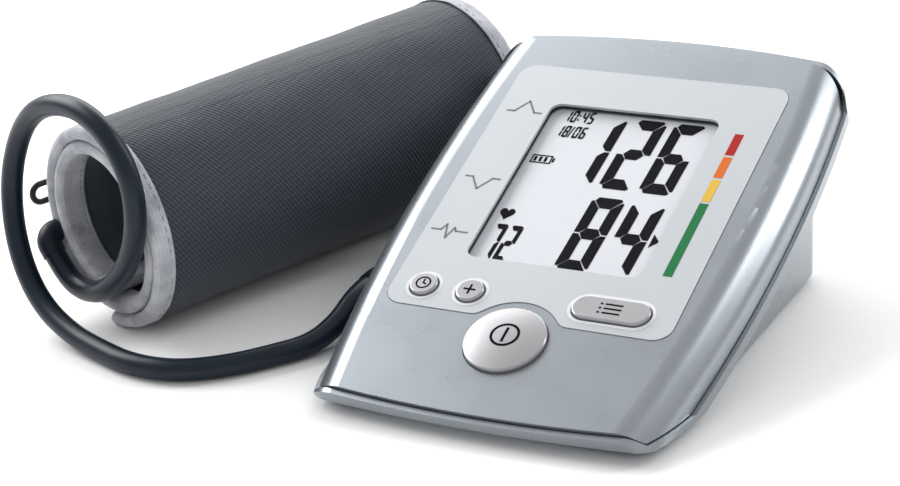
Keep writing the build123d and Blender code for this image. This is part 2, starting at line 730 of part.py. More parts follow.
# Air socket in the left wall, and the tube from it to the pump
wall_out = TUB_HALF_WIDTH + (SOCKET_Z + SOCKET_FLANGE_RADIUS) * tan(radians(TUB_DRAFT))
socket_in = wall_out - SOCKET_DEPTH
with BuildPart() as air_socket:
    with BuildSketch(left_wall.offset(wall_out)):
        with Locations((-SOCKET_Y, SOCKET_Z)):
            Circle(SOCKET_FLANGE_RADIUS)
    extrude(amount=SOCKET_FLANGE)
    with BuildSketch(left_wall.offset(wall_out)):
        with Locations((-SOCKET_Y, SOCKET_Z)):
            Circle(SOCKET_RADIUS)
    extrude(amount=-SOCKET_DEPTH)
    with BuildSketch(left_wall.offset(wall_out + SOCKET_FLANGE)):
        with Locations((-SOCKET_Y, SOCKET_Z)):
            Circle(SOCKET_BORE)
    extrude(amount=-SOCKET_DEPTH - SOCKET_FLANGE, mode=Mode.SUBTRACT)
pieces["air_socket"] = air_socket

# Tube inside the unit: pushed over the nozzle of the pump, its other end against the socket
tube_start = (UNIT_X - socket_in, UNIT_Y + SOCKET_Y, SOCKET_Z)
tube_turn = (UNIT_X + PUMP_X, UNIT_Y + SOCKET_Y, SOCKET_Z)
tube_end = (UNIT_X + PUMP_X, UNIT_Y + PUMP_FRONT, SOCKET_Z)
with BuildPart() as inner_tube:
    with BuildLine() as tube_path:
        FilletPolyline(tube_start, tube_turn, tube_end, radius=TUBE_RADIUS + TUBE_BORE)
    with BuildSketch(Plane(origin=tube_path.line @ 0, z_dir=tube_path.line % 0)):
        Circle(TUBE_RADIUS)
        Circle(TUBE_BORE, mode=Mode.SUBTRACT)
    sweep()
pieces["inner_tube"] = inner_tube

# Plug of the hose: a stem in the socket and a sleeve that bends to the front
plug_face = wall_out + SOCKET_FLANGE
plug_start = Vector(UNIT_X - plug_face, UNIT_Y + SOCKET_Y, SOCKET_Z)
plug_corner = plug_start - Vector(PLUG_REACH, 0, 0)
plug_end = plug_corner - Vector(0, PLUG_BARB_LENGTH, 0)
with BuildPart() as hose_plug:
    with BuildSketch(left_wall.offset(plug_face)):
        with Locations((-SOCKET_Y, SOCKET_Z)):
            Circle(PLUG_STEM_RADIUS)
    extrude(amount=-PLUG_STEM_LENGTH)
    with BuildLine():
        FilletPolyline(plug_start, plug_corner, plug_end, radius=PLUG_BEND)
    with BuildSketch(Plane(origin=plug_start, z_dir=(-1, 0, 0))):
        Circle(PLUG_RADIUS)
    sweep()
pieces["hose_plug"] = hose_plug


# Cuff: half turns of a spiral, each a little smaller than the last, lofted from end to end

def half_ring(plane, bottom, radius, outer, inner, near_side):
    """Half of a ring on one plane, between two depths under the roll's outer surface."""
    with BuildSketch(plane) as ring:
        with Locations((0, bottom + radius)):
            Circle(radius - outer)
            Circle(radius - inner, mode=Mode.SUBTRACT)
            reach = 2 * radius
            shift = reach / 2 if near_side else -reach / 2
            with Locations((shift, 0)):
                Rectangle(reach, 2 * reach, mode=Mode.SUBTRACT)
    return ring.sketch


def spiral_layer(first_turn, last_turn, outer, inner, start, end):
    """Layer of the rolled strip between two depths, over some of its half turns."""
    with BuildPart() as layer:
        for index in range(first_turn, last_turn):
            near_side = index % 2 == 0
            bottom = ROLL_STEP * 2 * ((index + 1) // 2)
            for_near = CUFF_NEAR_RADIUS - ROLL_STEP * index
            for_far = CUFF_FAR_RADIUS - ROLL_STEP * index
            growth = (for_far - for_near) / CUFF_LENGTH
            ends = [
                half_ring(roll.offset(reach), bottom, for_near + growth * reach, outer, inner, near_side)
                for reach in (start, end)
            ]
            loft(ends)
    return layer


TURNS = 4
FLAP_TURNS = 2
strip_depth = SHELL_THICKNESS + PAD_THICKNESS + LINING_THICKNESS
near_end = -TAPE_WIDTH + TAPE_THICKNESS
far_end = CUFF_LENGTH + TAPE_WIDTH - TAPE_THICKNESS
pad_end = near_end + TAPE_WIDTH
pieces["cuff_shell"] = spiral_layer(0, TURNS, 0.0, SHELL_THICKNESS, near_end, far_end)
pieces["cuff_padding"] = spiral_layer(
    0, FLAP_TURNS, SHELL_THICKNESS, SHELL_THICKNESS + PAD_THICKNESS, near_end, far_end
)
pieces["air_bladder"] = spiral_layer(
    FLAP_TURNS, TURNS, SHELL_THICKNESS, SHELL_THICKNESS + PAD_THICKNESS, near_end, far_end
)
pieces["cuff_lining"] = spiral_layer(
    0, TURNS, SHELL_THICKNESS + PAD_THICKNESS, strip_depth, near_end, far_end
)


def edge_tape(start, end, skin_start, skin_end):
    """Tape folded round one long edge of the strip."""
    with BuildPart() as tape:
        add(spiral_layer(0, TURNS, -TAPE_THICKNESS, strip_depth + TAPE_THICKNESS, start, end).part)
        add(
            spiral_layer(0, TURNS, 0.0, strip_depth, skin_start, skin_end).part,
            mode=Mode.SUBTRACT,
        )
    return tape


pieces["near_edge_tape"] = edge_tape(-TAPE_WIDTH, 0.0, near_end, TAPE_WIDTH)
pieces["far_edge_tape"] = edge_tape(CUFF_LENGTH, CUFF_LENGTH + TAPE_WIDTH, CUFF_LENGTH - TAPE_WIDTH, far_end)

# Elbow on the cuff: a stub on the edge of the strip and a barb that points down along the roll's end
far_radius = CUFF_NEAR_RADIUS - ROLL_STEP
port_radius = far_radius - strip_depth / 2
port_t = port_radius * cos(radians(PORT_ANGLE))
port_z = 2 * ROLL_STEP + far_radius + port_radius * sin(radians(PORT_ANGLE))
elbow_start = roll.from_local_coords(Vector(port_t, port_z, -TAPE_WIDTH))
elbow_corner = roll.from_local_coords(Vector(port_t, port_z, -TAPE_WIDTH - ELBOW_REACH))
with BuildPart() as cuff_elbow:
    with BuildLine():
        FilletPolyline(elbow_start, elbow_corner, Vector(*HOSE_POINTS[-1]), radius=ELBOW_BEND)
    with BuildSketch(Plane(origin=elbow_start, z_dir=elbow_corner - elbow_start)):
        Circle(ELBOW_RADIUS)
    sweep()
pieces["cuff_elbow"] = cuff_elbow

# Closing ring: a long wire ring that hangs on the left of the cuff, in a loop sewn to the shell
ring_t = max(CUFF_NEAR_RADIUS, CUFF_FAR_RADIUS) + TAPE_THICKNESS + RING_GAP + RING_WIRE
ring_length = CUFF_LENGTH + 2 * TAPE_WIDTH + 2 * RING_REACH
ring_plane = Plane(
    origin=roll.from_local_coords(Vector(ring_t, RING_TOP + RING_WIRE - RING_HEIGHT / 2, CUFF_LENGTH / 2)),
    x_dir=roll.z_dir,
    z_dir=roll.x_dir,
)
with BuildSketch(ring_plane) as ring_outline:
    SlotOverall(ring_length - 2 * RING_WIRE, RING_HEIGHT - 2 * RING_WIRE)
ring_path = ring_outline.sketch.face().outer_wire()
with BuildPart() as closing_ring:
    with BuildSketch(Plane(origin=ring_path @ 0, z_dir=ring_path % 0)):
        Circle(RING_WIRE)
    sweep(path=ring_path)
pieces["closing_ring"] = closing_ring

loop_start = (CUFF_LENGTH - LOOP_LENGTH) / 2
loop_bore = RING_WIRE + LOOP_GAP


def loop_tail(reach):
    """The loop's tail on one plane: a strip that lies along the outside of the shell."""
    radius = CUFF_NEAR_RADIUS + (CUFF_FAR_RADIUS - CUFF_NEAR_RADIUS) * reach / CUFF_LENGTH
    with BuildSketch(roll.offset(reach)) as tail:
        with Locations((0, CUFF_NEAR_RADIUS)):
            Circle(radius + LOOP_GAP + LOOP_THICKNESS)
            Circle(radius + LOOP_GAP, mode=Mode.SUBTRACT)
        with Locations((radius, RING_TOP + LOOP_TAIL / 2)):
            Rectangle(radius, LOOP_TAIL, mode=Mode.INTERSECT)
    return tail.sketch


with BuildPart() as ring_loop:
    loft([loop_tail(loop_start), loop_tail(loop_start + LOOP_LENGTH)])
    with BuildSketch(roll.offset(loop_start)):
        with Locations((ring_t, RING_TOP)):
            Circle(loop_bore + LOOP_THICKNESS)
    extrude(amount=LOOP_LENGTH)
    with BuildSketch(roll.offset(loop_start)):
        with Locations((ring_t, RING_TOP)):
            Circle(loop_bore)
    extrude(amount=LOOP_LENGTH, mode=Mode.SUBTRACT)
    # the outermost turn of the cuff stays clear of the loop
    add(spiral_layer(0, 2, 0.0, SHELL_THICKNESS, near_end, far_end).part, mode=Mode.SUBTRACT)
pieces["ring_loop"] = ring_loop

# Air hose: straight runs joined by arcs that are as large as the runs allow
hose = [Vector(*point) for point in HOSE_POINTS]
runs = [second - first for first, second in zip(hose, hose[1:])]
turns = [first.get_angle(second) for first, second in zip(runs, runs[1:])]
radii = [
    0.45 * min(first.length, second.length) / tan(radians(angle) / 2)
    for first, second, angle in zip(runs, runs[1:], turns)
]
with BuildPart() as air_hose:
    with BuildLine() as hose_path:
        FilletPolyline(*hose, radius=radii)
    with BuildSketch(Plane(origin=hose[0], z_dir=runs[0])):
        Circle(HOSE_RADIUS)
    sweep()
pieces["air_hose"] = air_hose

os.makedirs("parts", exist_ok=True)
for name, piece in pieces.items():
    piece.part.label = name
    export_step(piece.part, f"parts/{name}.step")
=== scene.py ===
"""Dresses an upper arm blood pressure monitor: the desk unit, its display and keys, the cuff and the hose."""
import json
from math import cos, floor, pi, sin

import bmesh
import bpy
from mathutils import Matrix, Vector, noise


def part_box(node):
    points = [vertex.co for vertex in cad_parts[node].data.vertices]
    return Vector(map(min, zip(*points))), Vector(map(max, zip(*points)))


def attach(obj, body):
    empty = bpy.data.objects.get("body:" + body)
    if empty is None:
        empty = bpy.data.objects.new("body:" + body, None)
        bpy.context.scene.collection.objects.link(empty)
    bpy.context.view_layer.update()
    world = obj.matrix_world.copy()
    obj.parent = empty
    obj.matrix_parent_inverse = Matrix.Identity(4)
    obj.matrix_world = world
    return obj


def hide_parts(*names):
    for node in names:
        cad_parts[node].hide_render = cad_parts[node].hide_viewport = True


bl_info = {
    "name": "Upper arm blood pressure monitor",
    "version": (1, 0, 0),
    "blender": (4, 5, 0),
    "location": "3D View > Sidebar > Monitor",
    "description": "Finishes the monitor's plastics, display, keys, cuff and hose around its CAD frame",
    "category": "Object",
}

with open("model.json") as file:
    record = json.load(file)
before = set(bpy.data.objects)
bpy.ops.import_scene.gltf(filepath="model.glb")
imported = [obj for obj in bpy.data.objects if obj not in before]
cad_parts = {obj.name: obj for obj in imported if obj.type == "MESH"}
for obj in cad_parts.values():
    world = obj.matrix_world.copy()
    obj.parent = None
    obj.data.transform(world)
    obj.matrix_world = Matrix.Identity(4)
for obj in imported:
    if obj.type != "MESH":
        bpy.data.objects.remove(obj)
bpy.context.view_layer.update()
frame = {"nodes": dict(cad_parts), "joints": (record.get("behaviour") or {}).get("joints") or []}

MM = 0.001
joints = {joint["name"]: joint for joint in frame["joints"]}


# Places on the sloping face: u to the right, v up the slope and h out of it, in millimetres

plate_low, plate_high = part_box("face_plate")
PLATE_CENTRE = (plate_low + plate_high) / 2
PLATE_MIDDLE_V = 28.1
PLATE_MIDDLE_H = -0.2
FACE_OUT = -Vector(joints["start_press"]["axis"]).normalized()
FACE_RIGHT = Vector((1, 0, 0))
FACE_BACK = Vector((0, FACE_OUT.z, -FACE_OUT.y))


def face_point(u, v, h):
    """A point of the sloping face, in metres."""
    return PLATE_CENTRE + MM * (
        FACE_RIGHT * u + FACE_BACK * (v - PLATE_MIDDLE_V) + FACE_OUT * (h - PLATE_MIDDLE_H)
    )


def face_matrix(h):
    """Moves a drawing in millimetres in the XY plane to the face, at height h."""
    turn = Matrix((FACE_RIGHT, FACE_BACK, FACE_OUT)).transposed().to_4x4()
    return Matrix.Translation(face_point(0, 0, h)) @ turn @ Matrix.Scale(MM, 4)


PANEL_H = -1.96
PLATE_H = 0.21
SMALL_KEY_H = 1.21
START_KEY_H = 1.21
START_RADIUS = 10.75
START_DOME = 0.8
PRINT_THICKNESS = 0.05

START_AT = (-0.8, -27.0)
MEMORY_AT = (22.0, -12.3)
PLUS_AT = (-17.1, -12.4)
TIME_AT = (-30.4, -12.4)

# The cuff: a strip rolled up in half turns about an axis that lies along the table

CUFF_ORIGIN = Vector((-71.0, -45.5, 0.3))
CUFF_AXIS = Vector(joints["ring_swing"]["axis"]).normalized()
CUFF_SIDE = Vector((-CUFF_AXIS.y, CUFF_AXIS.x, 0.0))
CUFF_LENGTH = 114.0
CUFF_NEAR_RADIUS = 28.3
CUFF_FAR_RADIUS = 29.2
ROLL_STEP = 2.0
HALF_TURNS = 4
TAPE_WIDTH = 8.0
STRIP_DEPTH = 3.2
TAPE_THICKNESS = 0.3
TAPE_OUTSIDE = 5.2
CLOTH_SETBACK = 0.6
CLOTH_THICKNESS = 1.0
LINING_THICKNESS = 0.5

# Grids: steps around the roll and along it, or round the fold of a tape
CLOTH_GRID = (220, 56)
EDGE_TAPE_GRID = (360, 24)
END_TAPE_GRID = (20, 40)

# Puckers: the length of a wave and its depth, in millimetres
OUTER_PUCKERS = (14.0, 0.3)
LINING_PUCKERS = (9.0, 0.35)
TAPE_PUCKERS = (5.0, 0.2)

# Half turns where rows of stitching run along the cloth, and across the lining
SEAM_TURNS = (0.90, 0.955, 1.01)
LINING_SEAM_TURNS = (3.42, 3.46)

# Stitches: from one to the next, the length that shows and the thread's width
STITCH_PITCH = 3.0
STITCH_LENGTH = 2.0
THREAD_WIDTH = 0.28
LINING_STITCHES = 28

# The air hose: the points of its route from the plug to the elbow on the cuff
HOSE_RADIUS = 3.0
HOSE_POINTS = [
    (-6.9, -27.5, 10.0),
    (-6.9, -34.5, 10.0),
    (-7.8, -42.5, 6.0),
    (-11.0, -51.5, 3.2),
    (-17.5, -60.0, 3.1),
    (-26.0, -69.5, 3.1),
    (-37.5, -76.5, 3.1),
    (-51.0, -77.1, 3.1),
    (-64.0, -72.7, 3.2),
    (-76.0, -68.5, 4.2),
    (-88.0, -63.5, 8.0),
    (-96.5, -59.0, 16.0),
    (-101.0, -55.3, 27.5),
    (-101.5, -52.5, 40.5),
    (-97.0, -52.1, 52.5),
    (-89.5, -54.3, 61.0),
    (-79.5, -57.7, 66.0),
    (-67.0, -62.3, 67.5),
    (-55.5, -66.3, 62.5),
    (-49.3, -68.1, 51.5),
    (-50.5, -67.1, 38.0),
    (-57.0, -64.3, 25.5),
    (-66.5, -60.1, 16.0),
    (-75.5, -56.1, 10.8),
    (-83.6, -53.1, 9.9),
    (-89.4, -50.7, 12.6),
    (-93.19, -49.33, 17.18),
]

# The photograph's camera: where it stands and how it is turned
CAMERA_AT = (0.31010, -0.54078, 0.28345)
CAMERA_RIGHT = (0.8838, 0.4607, -0.0798)
CAMERA_UP = (-0.1207, 0.3895, 0.9129)
CAMERA_LENS = 98.87


# Shader maths

class Value:
    """A number, colour or vector inside a finish, so that shader maths reads as a plain expression."""

    def __init__(self, finish, socket):
        self.finish = finish
        self.socket = socket

    def maths(self, operation, *values):
        return self.finish.node("ShaderNodeMath", {"operation": operation}, *values)

    def __add__(self, other):
        return self.maths("ADD", self, other)

    __radd__ = __add__

    def __sub__(self, other):
        return self.maths("SUBTRACT", self, other)

    def __mul__(self, other):
        return self.maths("MULTIPLY", self, other)

    __rmul__ = __mul__

    def __lt__(self, other):
        return self.maths("LESS_THAN", self, other)

    def wave(self):
        """The sine of the number."""
        return self.maths("SINE", self)

    def size(self):
        """The number without its sign."""
        return self.maths("ABSOLUTE", self)

    def clamped(self):
        """The number, kept between 0 and 1."""
        return self.finish.node("ShaderNodeClamp", {}, self, 0.0, 1.0)


class Finish:
    """A procedural material: one Principled shader and the nodes that feed it."""

    def __init__(self, name, roughness, **constants):
        self.material = bpy.data.materials.new(name)
        self.material.use_nodes = True
        self.tree = self.material.node_tree
        self.shader = self.tree.nodes["Principled BSDF"]
        self.set("Roughness", roughness)
        for socket, value in constants.items():
            self.set(socket.replace("_", " ").title().replace("Ior", "IOR"), value)

    def feed(self, socket, value):
        """Links a value to a socket, or sets the socket to a plain number, colour or vector."""
        if isinstance(value, Value):
            self.tree.links.new(value.socket, socket)
        elif hasattr(value, "__len__") and len(value) == 3 and len(socket.default_value) == 4:
            socket.default_value = (*value, 1.0)
        else:
            socket.default_value = value

    def set(self, name, value):
        self.feed(self.shader.inputs[name], value)

    def node(self, kind, settings, *values, output=0, **named):
        """Adds a node: its settings first, then the values or links of its sockets."""
        made = self.tree.nodes.new(kind)
        for name, value in settings.items():
            setattr(made, name, value)
        for socket, value in zip(made.inputs, values):
            self.feed(socket, value)
        for name, value in named.items():
            self.feed(made.inputs[name], value)
        return Value(self, made.outputs[output])

    def place(self):
        """Object coordinates, in metres."""
        return self.node("ShaderNodeTexCoord", {}, output=3)

    def cloth_place(self):
        """The piece's own UV map: metres around the roll and along it."""
        return self.node("ShaderNodeUVMap", {"uv_map": "UVMap"})

    def parts(self, vector):
        """The three numbers of a vector."""
        split = self.node("ShaderNodeSeparateXYZ", {}, vector)
        outputs = split.socket.node.outputs
        return [Value(self, outputs[index]) for index in range(3)]

    def noise(self, vector, size, detail=3.0, roughness=0.5):
        """Cloudy noise from 0 to 1 whose features are about size metres across."""
        return self.node(
            "ShaderNodeTexNoise", {}, Vector=vector, Scale=1.0 / size, Detail=detail, Roughness=roughness
        )

    def mix(self, share, first, second):
        """A colour between two colours."""
        made = self.tree.nodes.new("ShaderNodeMix")
        made.data_type = "RGBA"
        for index, value in zip((0, 6, 7), (share, first, second)):
            self.feed(made.inputs[index], value)
        return Value(self, made.outputs[2])

    def bump(self, height, depth, strength=1.0):
        """Feeds a height from 0 to 1 to the shader's normal, as a relief of depth metres."""
        normal = self.node("ShaderNodeBump", {}, Strength=strength, Distance=depth, Height=height)
        self.set("Normal", normal)


def plastic(name, colour, roughness, grain=0.0003, relief=0.00001, **constants):
    """Moulded plastic or paint: a fine grain, a faint cloud in its colour and smudges in its gloss."""
    finish = Finish(name, roughness, **constants)
    place = finish.place()
    cloud = finish.noise(place, 0.03, 2.0)
    darker = tuple(part * 0.94 for part in colour)
    finish.set("Base Color", finish.mix(cloud, darker, colour))
    finish.set("Roughness", roughness + 0.08 * (finish.noise(place, 0.012, 3.0) - 0.5))
    finish.bump(finish.noise(place, grain, 2.0), relief)
    return finish.material


def zinc_steel():
    """Plated steel with fine drawn lines along X."""
    finish = Finish("zinc_steel", 0.35, metallic=1.0)
    x, y, z = finish.parts(finish.place())
    stretched = finish.node("ShaderNodeCombineXYZ", {}, x * 0.05, y, z)
    lines = finish.noise(stretched, 0.0004, 2.0)
    finish.set("Base Color", finish.mix(lines, (0.527, 0.527, 0.5355), (0.62, 0.62, 0.63)))
    finish.bump(lines, 0.000005)
    return finish.material


def cuff_cloth():
    """Ribbed nylon: fine slanting ribs, and rows of stitching beside the fold at the top of the roll."""
    finish = Finish("cuff_cloth", 0.6, sheen_weight=0.12, sheen_roughness=0.4, specular_ior_level=0.3)
    around, along, _ = finish.parts(finish.cloth_place())
    drift = finish.noise(finish.cloth_place(), 0.03, 2.0) * 0.002
    ribs = ((around * 0.62 + along + drift) * (2 * pi / 0.0012)).wave() * 0.5 + 0.5
    cross = ((around - along * 0.3) * (2 * pi / 0.0017)).wave() * 0.5 + 0.5
    weave = ribs * 0.7 + cross * 0.3
    seams = 0.0
    for turn in SEAM_TURNS:
        seams = ((around - arc_length(turn) * MM).size() < 0.00035) + seams
    cloud = finish.noise(finish.cloth_place(), 0.02, 3.0)
    dark = finish.mix(cloud, (0.014, 0.018, 0.027), (0.020, 0.026, 0.036))
    light = finish.mix(cloud, (0.044, 0.054, 0.071), (0.056, 0.067, 0.086))
    cloth = finish.mix(weave, dark, light)
    finish.set("Base Color", finish.mix(seams * 0.75, cloth, (0.010, 0.012, 0.018)))
    finish.bump(weave - seams * 2.0, 0.00014, 0.7)
    return finish.material


def lining_cloth():
    """Smooth navy lining with a fine knit."""
    finish = Finish("lining_cloth", 0.7, sheen_weight=0.2, sheen_roughness=0.5)
    around, along, _ = finish.parts(finish.cloth_place())
    knit = (around * (2 * pi / 0.0009)).wave() * (along * (2 * pi / 0.0009)).wave() * 0.5 + 0.5
    cloud = finish.noise(finish.cloth_place(), 0.01, 3.0)
    light = cloud * 0.6 + knit * 0.4
    finish.set("Base Color", finish.mix(light, (0.022, 0.028, 0.038), (0.062, 0.074, 0.094)))
    finish.bump(knit * 0.5 + cloud * 0.5, 0.0001, 0.5)
    return finish.material


def edge_tape():
    """Woven pale grey tape, a little soiled, with fine threads across it."""
    finish = Finish("edge_tape", 0.75, sheen_weight=0.15, sheen_roughness=0.5)
    around, along, _ = finish.parts(finish.cloth_place())
    threads = (around * (2 * pi / 0.0007)).wave() * 0.5 + 0.5
    weft = (along * (2 * pi / 0.0011)).wave() * 0.5 + 0.5
    patches = finish.noise(finish.cloth_place(), 0.009, 3.0, 0.6)
    fluff = finish.noise(finish.cloth_place(), 0.0006, 3.0, 0.7)
    cloud = ((patches - 0.5) * 2.2 + fluff * 0.6 + 0.2).clamped()
    pale = finish.mix(cloud, (0.25, 0.26, 0.30), (0.62, 0.63, 0.67))
    finish.set("Base Color", finish.mix(threads * weft * 0.4, pale, (0.25, 0.26, 0.29)))
    finish.bump(threads * 0.4 + weft * 0.3 + fluff, 0.00012, 0.7)
    return finish.material


def hose_rubber():
    """Satin navy rubber."""
    finish = Finish("hose_rubber", 0.36, specular_ior_level=0.3)
    place = finish.place()
    cloud = finish.noise(place, 0.008, 3.0)
    finish.set("Base Color", finish.mix(cloud, (0.003, 0.008, 0.017), (0.006, 0.014, 0.027)))
    finish.set("Roughness", 0.30 + 0.12 * finish.noise(place, 0.02, 3.0))
    finish.bump(finish.noise(place, 0.0006, 2.0), 0.00002, 0.5)
    return finish.material


def clear_lens():
    """The clear window over the display."""
    finish = Finish("clear_lens", 0.1, alpha=0.06)
    place = finish.place()
    finish.set("Base Color", finish.mix(finish.noise(place, 0.02), (0.02, 0.02, 0.03), (0.04, 0.04, 0.05)))
    return finish.material


# The plainly moulded or painted finishes: colour, roughness, and what else differs from the usual
BAR_PRINT = {"specular_ior_level": 0.15}
PLAIN_FINISHES = {
    "body_silver": (
        (0.33, 0.36, 0.39),
        0.28,
        {"grain": 0.0006, "relief": 0.000001, "metallic": 0.8, "coat_weight": 0.1},
    ),
    "plate_silver": ((0.46, 0.485, 0.51), 0.42, {"relief": 0.000004, "metallic": 0.15}),
    "key_silver": ((0.40, 0.395, 0.41), 0.30, {"relief": 0.000003, "metallic": 0.6}),
    "key_ring_white": ((0.70, 0.72, 0.74), 0.45, {"relief": 0.000003}),
    "print_black": ((0.008, 0.008, 0.010), 0.8, {"relief": 0.000002, "specular_ior_level": 0.02}),
    "print_grey": ((0.10, 0.105, 0.115), 0.5, {"relief": 0.000002}),
    "display_white": ((0.78, 0.80, 0.85), 0.45, {"relief": 0.000002}),
    "bar_red": ((0.36, 0.004, 0.003), 0.6, BAR_PRINT),
    "bar_orange": ((0.62, 0.13, 0.012), 0.6, BAR_PRINT),
    "bar_yellow": ((0.66, 0.42, 0.05), 0.6, BAR_PRINT),
    "bar_green": ((0.004, 0.15, 0.042), 0.6, BAR_PRINT),
    "inner_white": ((0.62, 0.62, 0.60), 0.5, {}),
    "inner_black": ((0.02, 0.02, 0.022), 0.45, {}),
    "soft_grey": ((0.10, 0.10, 0.11), 0.6, {}),
    "foot_rubber": ((0.045, 0.045, 0.05), 0.75, {"grain": 0.0006, "relief": 0.00003}),
    "fitting_dark": ((0.010, 0.015, 0.024), 0.42, {"specular_ior_level": 0.2}),
    "circuit_green": ((0.02, 0.16, 0.07), 0.35, {}),
    "webbing": ((0.030, 0.037, 0.050), 0.8, {"grain": 0.0007, "relief": 0.00008}),
    "ring_black": ((0.012, 0.012, 0.013), 0.32, {"metallic": 0.3}),
    "thread_grey": ((0.22, 0.23, 0.26), 0.8, {}),
    "thread_dark": ((0.012, 0.014, 0.020), 0.8, {}),
}
SPECIAL_FINISHES = {
    "lens": clear_lens,
    "zinc_steel": zinc_steel,
    "cuff_cloth": cuff_cloth,
    "lining_cloth": lining_cloth,
    "edge_tape": edge_tape,
    "hose_rubber": hose_rubber,
}
finishes = {}


def finish_named(name):
    """The material of that name, made once."""
    if name not in finishes:
        if name in SPECIAL_FINISHES:
            finishes[name] = SPECIAL_FINISHES[name]()
        else:
            colour, roughness, constants = PLAIN_FINISHES[name]
            finishes[name] = plastic(name, colour, roughness, **constants)
    return finishes[name]


# Making pieces

def new_piece(name, mesh, finish, body):
    """Wraps a bmesh as a piece that rides on a body."""
    data = bpy.data.meshes.new(name)
    mesh.to_mesh(data)
    mesh.free()
    data.materials.append(finish_named(finish))
    piece = bpy.data.objects.new(name, data)
    bpy.context.scene.collection.objects.link(piece)
    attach(piece, body)
    return piece


def smooth(piece):
    for polygon in piece.data.polygons:
        polygon.use_smooth = True


def thicken(mesh, faces, amount):
    """Gives flat faces a thickness along Z and closes them."""
    made = bmesh.ops.extrude_face_region(mesh, geom=faces)
    top = [item for item in made["geom"] if isinstance(item, bmesh.types.BMVert)]
    bmesh.ops.translate(mesh, verts=top, vec=(0, 0, amount))


def draw_outline(mesh, points):
    """A thin closed plate with that outline."""
    corners = [mesh.verts.new((x, y, 0.0)) for x, y in points]
    face = mesh.faces.new(corners)
    thicken(mesh, [face], PRINT_THICKNESS)


def draw_ring(mesh, centre, outer, inner, segments=64, stretch=0.0):
    """A thin closed ring; stretch pulls its two halves apart into a pill."""
    edges = []
    for radius in (inner, outer):
        made = bmesh.ops.create_circle(mesh, segments=segments, radius=radius, cap_ends=False)
        for vert in made["verts"]:
            side = 1 if vert.co.x > 0 else -1
            vert.co = (vert.co.x + centre[0] + side * stretch / 2, vert.co.y + centre[1], 0.0)
        edges += list({edge for vert in made["verts"] for edge in vert.link_edges})
    made = bmesh.ops.bridge_loops(mesh, edges=edges)
    thicken(mesh, made["faces"], PRINT_THICKNESS)


def draw_stroke(mesh, points, width):
    """A line of some width through points, as overlapping straight strokes."""
    for (x0, y0), (x1, y1) in zip(points, points[1:]):
        run = Vector((x1 - x0, y1 - y0))
        side = Vector((-run.y, run.x)).normalized() * width / 2
        end = run.normalized() * width / 2
        draw_outline(
            mesh,
            [
                (x0 - end.x + side.x, y0 - end.y + side.y),
                (x0 - end.x - side.x, y0 - end.y - side.y),
                (x1 + end.x - side.x, y1 + end.y - side.y),
                (x1 + end.x + side.x, y1 + end.y + side.y),
            ],
        )


def printed(name, mesh, height, finish, body):
    """Lays a drawing on the face at a height and makes it a piece."""
    bmesh.ops.recalc_face_normals(mesh, faces=mesh.faces)
    mesh.transform(face_matrix(height))
    return new_piece(name, mesh, finish, body)


# The display's readings

DIGIT_PARTS = {
    "0": "top upper_left upper_right lower_left lower_right bottom",
    "1": "upper_right lower_right",
    "2": "top upper_right middle lower_left bottom",
    "3": "top upper_right middle lower_right bottom",
    "4": "upper_left upper_right middle lower_right",
    "5": "top upper_left middle lower_right bottom",
    "6": "top upper_left middle lower_left lower_right bottom",
    "7": "top upper_right lower_right",
    "8": "top upper_left upper_right middle lower_left lower_right bottom",
    "9": "top upper_left upper_right middle lower_right bottom",
}

# Digit styles in millimetres: pitch, width, height, bar, wall, gap and lean
LARGE_DIGITS = (11.4, 9.3, 27.6, 4.0, 3.0, 0.26, 0.7)
PULSE_DIGITS = (4.4, 3.7, 13.4, 1.9, 1.15, 0.13, 0.3)
SMALL_DIGITS = (2.0, 1.6, 4.7, 0.75, 0.5, 0.07, 0.3)

# Where the readings stand: left edges, bottom edges and the colon or slash between two pairs of digits
LARGE_LEFT = -12.0
UPPER_BOTTOM = 32.6
LOWER_BOTTOM = 1.5
PULSE_LEFT = -22.4
CLOCK_BOTTOM = 56.3
DAY_BOTTOM = 50.2
PAIR_LEFTS = (-20.6, -15.6)
MARK_MIDDLE = -16.3

# The colour scale beside the display: piece, finish, lower and upper edge
SCALE_LEFT = 30.1
SCALE_RIGHT = 32.6
SCALE_BARS = (
    ("scale_green", "bar_green", 2.2, 29.2),
    ("scale_yellow", "bar_yellow", 30.0, 38.3),
    ("scale_orange", "bar_orange", 39.1, 47.2),
    ("scale_red", "bar_red", 48.0, 56.3),
)

# Signs beside the display: a rising and a falling stroke for the two pressures, and a beat for the pulse
PLATE_SIGNS = (
    (((-36.5, 56.2), (-34.5, 56.2), (-31.5, 60.6), (-28.5, 56.2), (-26.5, 56.2)), 0.55),
    (((-37.0, 29.0), (-35.0, 29.0), (-32.0, 24.6), (-29.0, 29.0), (-27.0, 29.0)), 0.55),
    (
        ((-37.6, 8.0), (-35.0, 8.0), (-34.0, 10.2), (-32.6, 5.2), (-31.4, 9.2), (-30.6, 8.0), (-27.4, 8.0)),
        0.5,
    ),
)


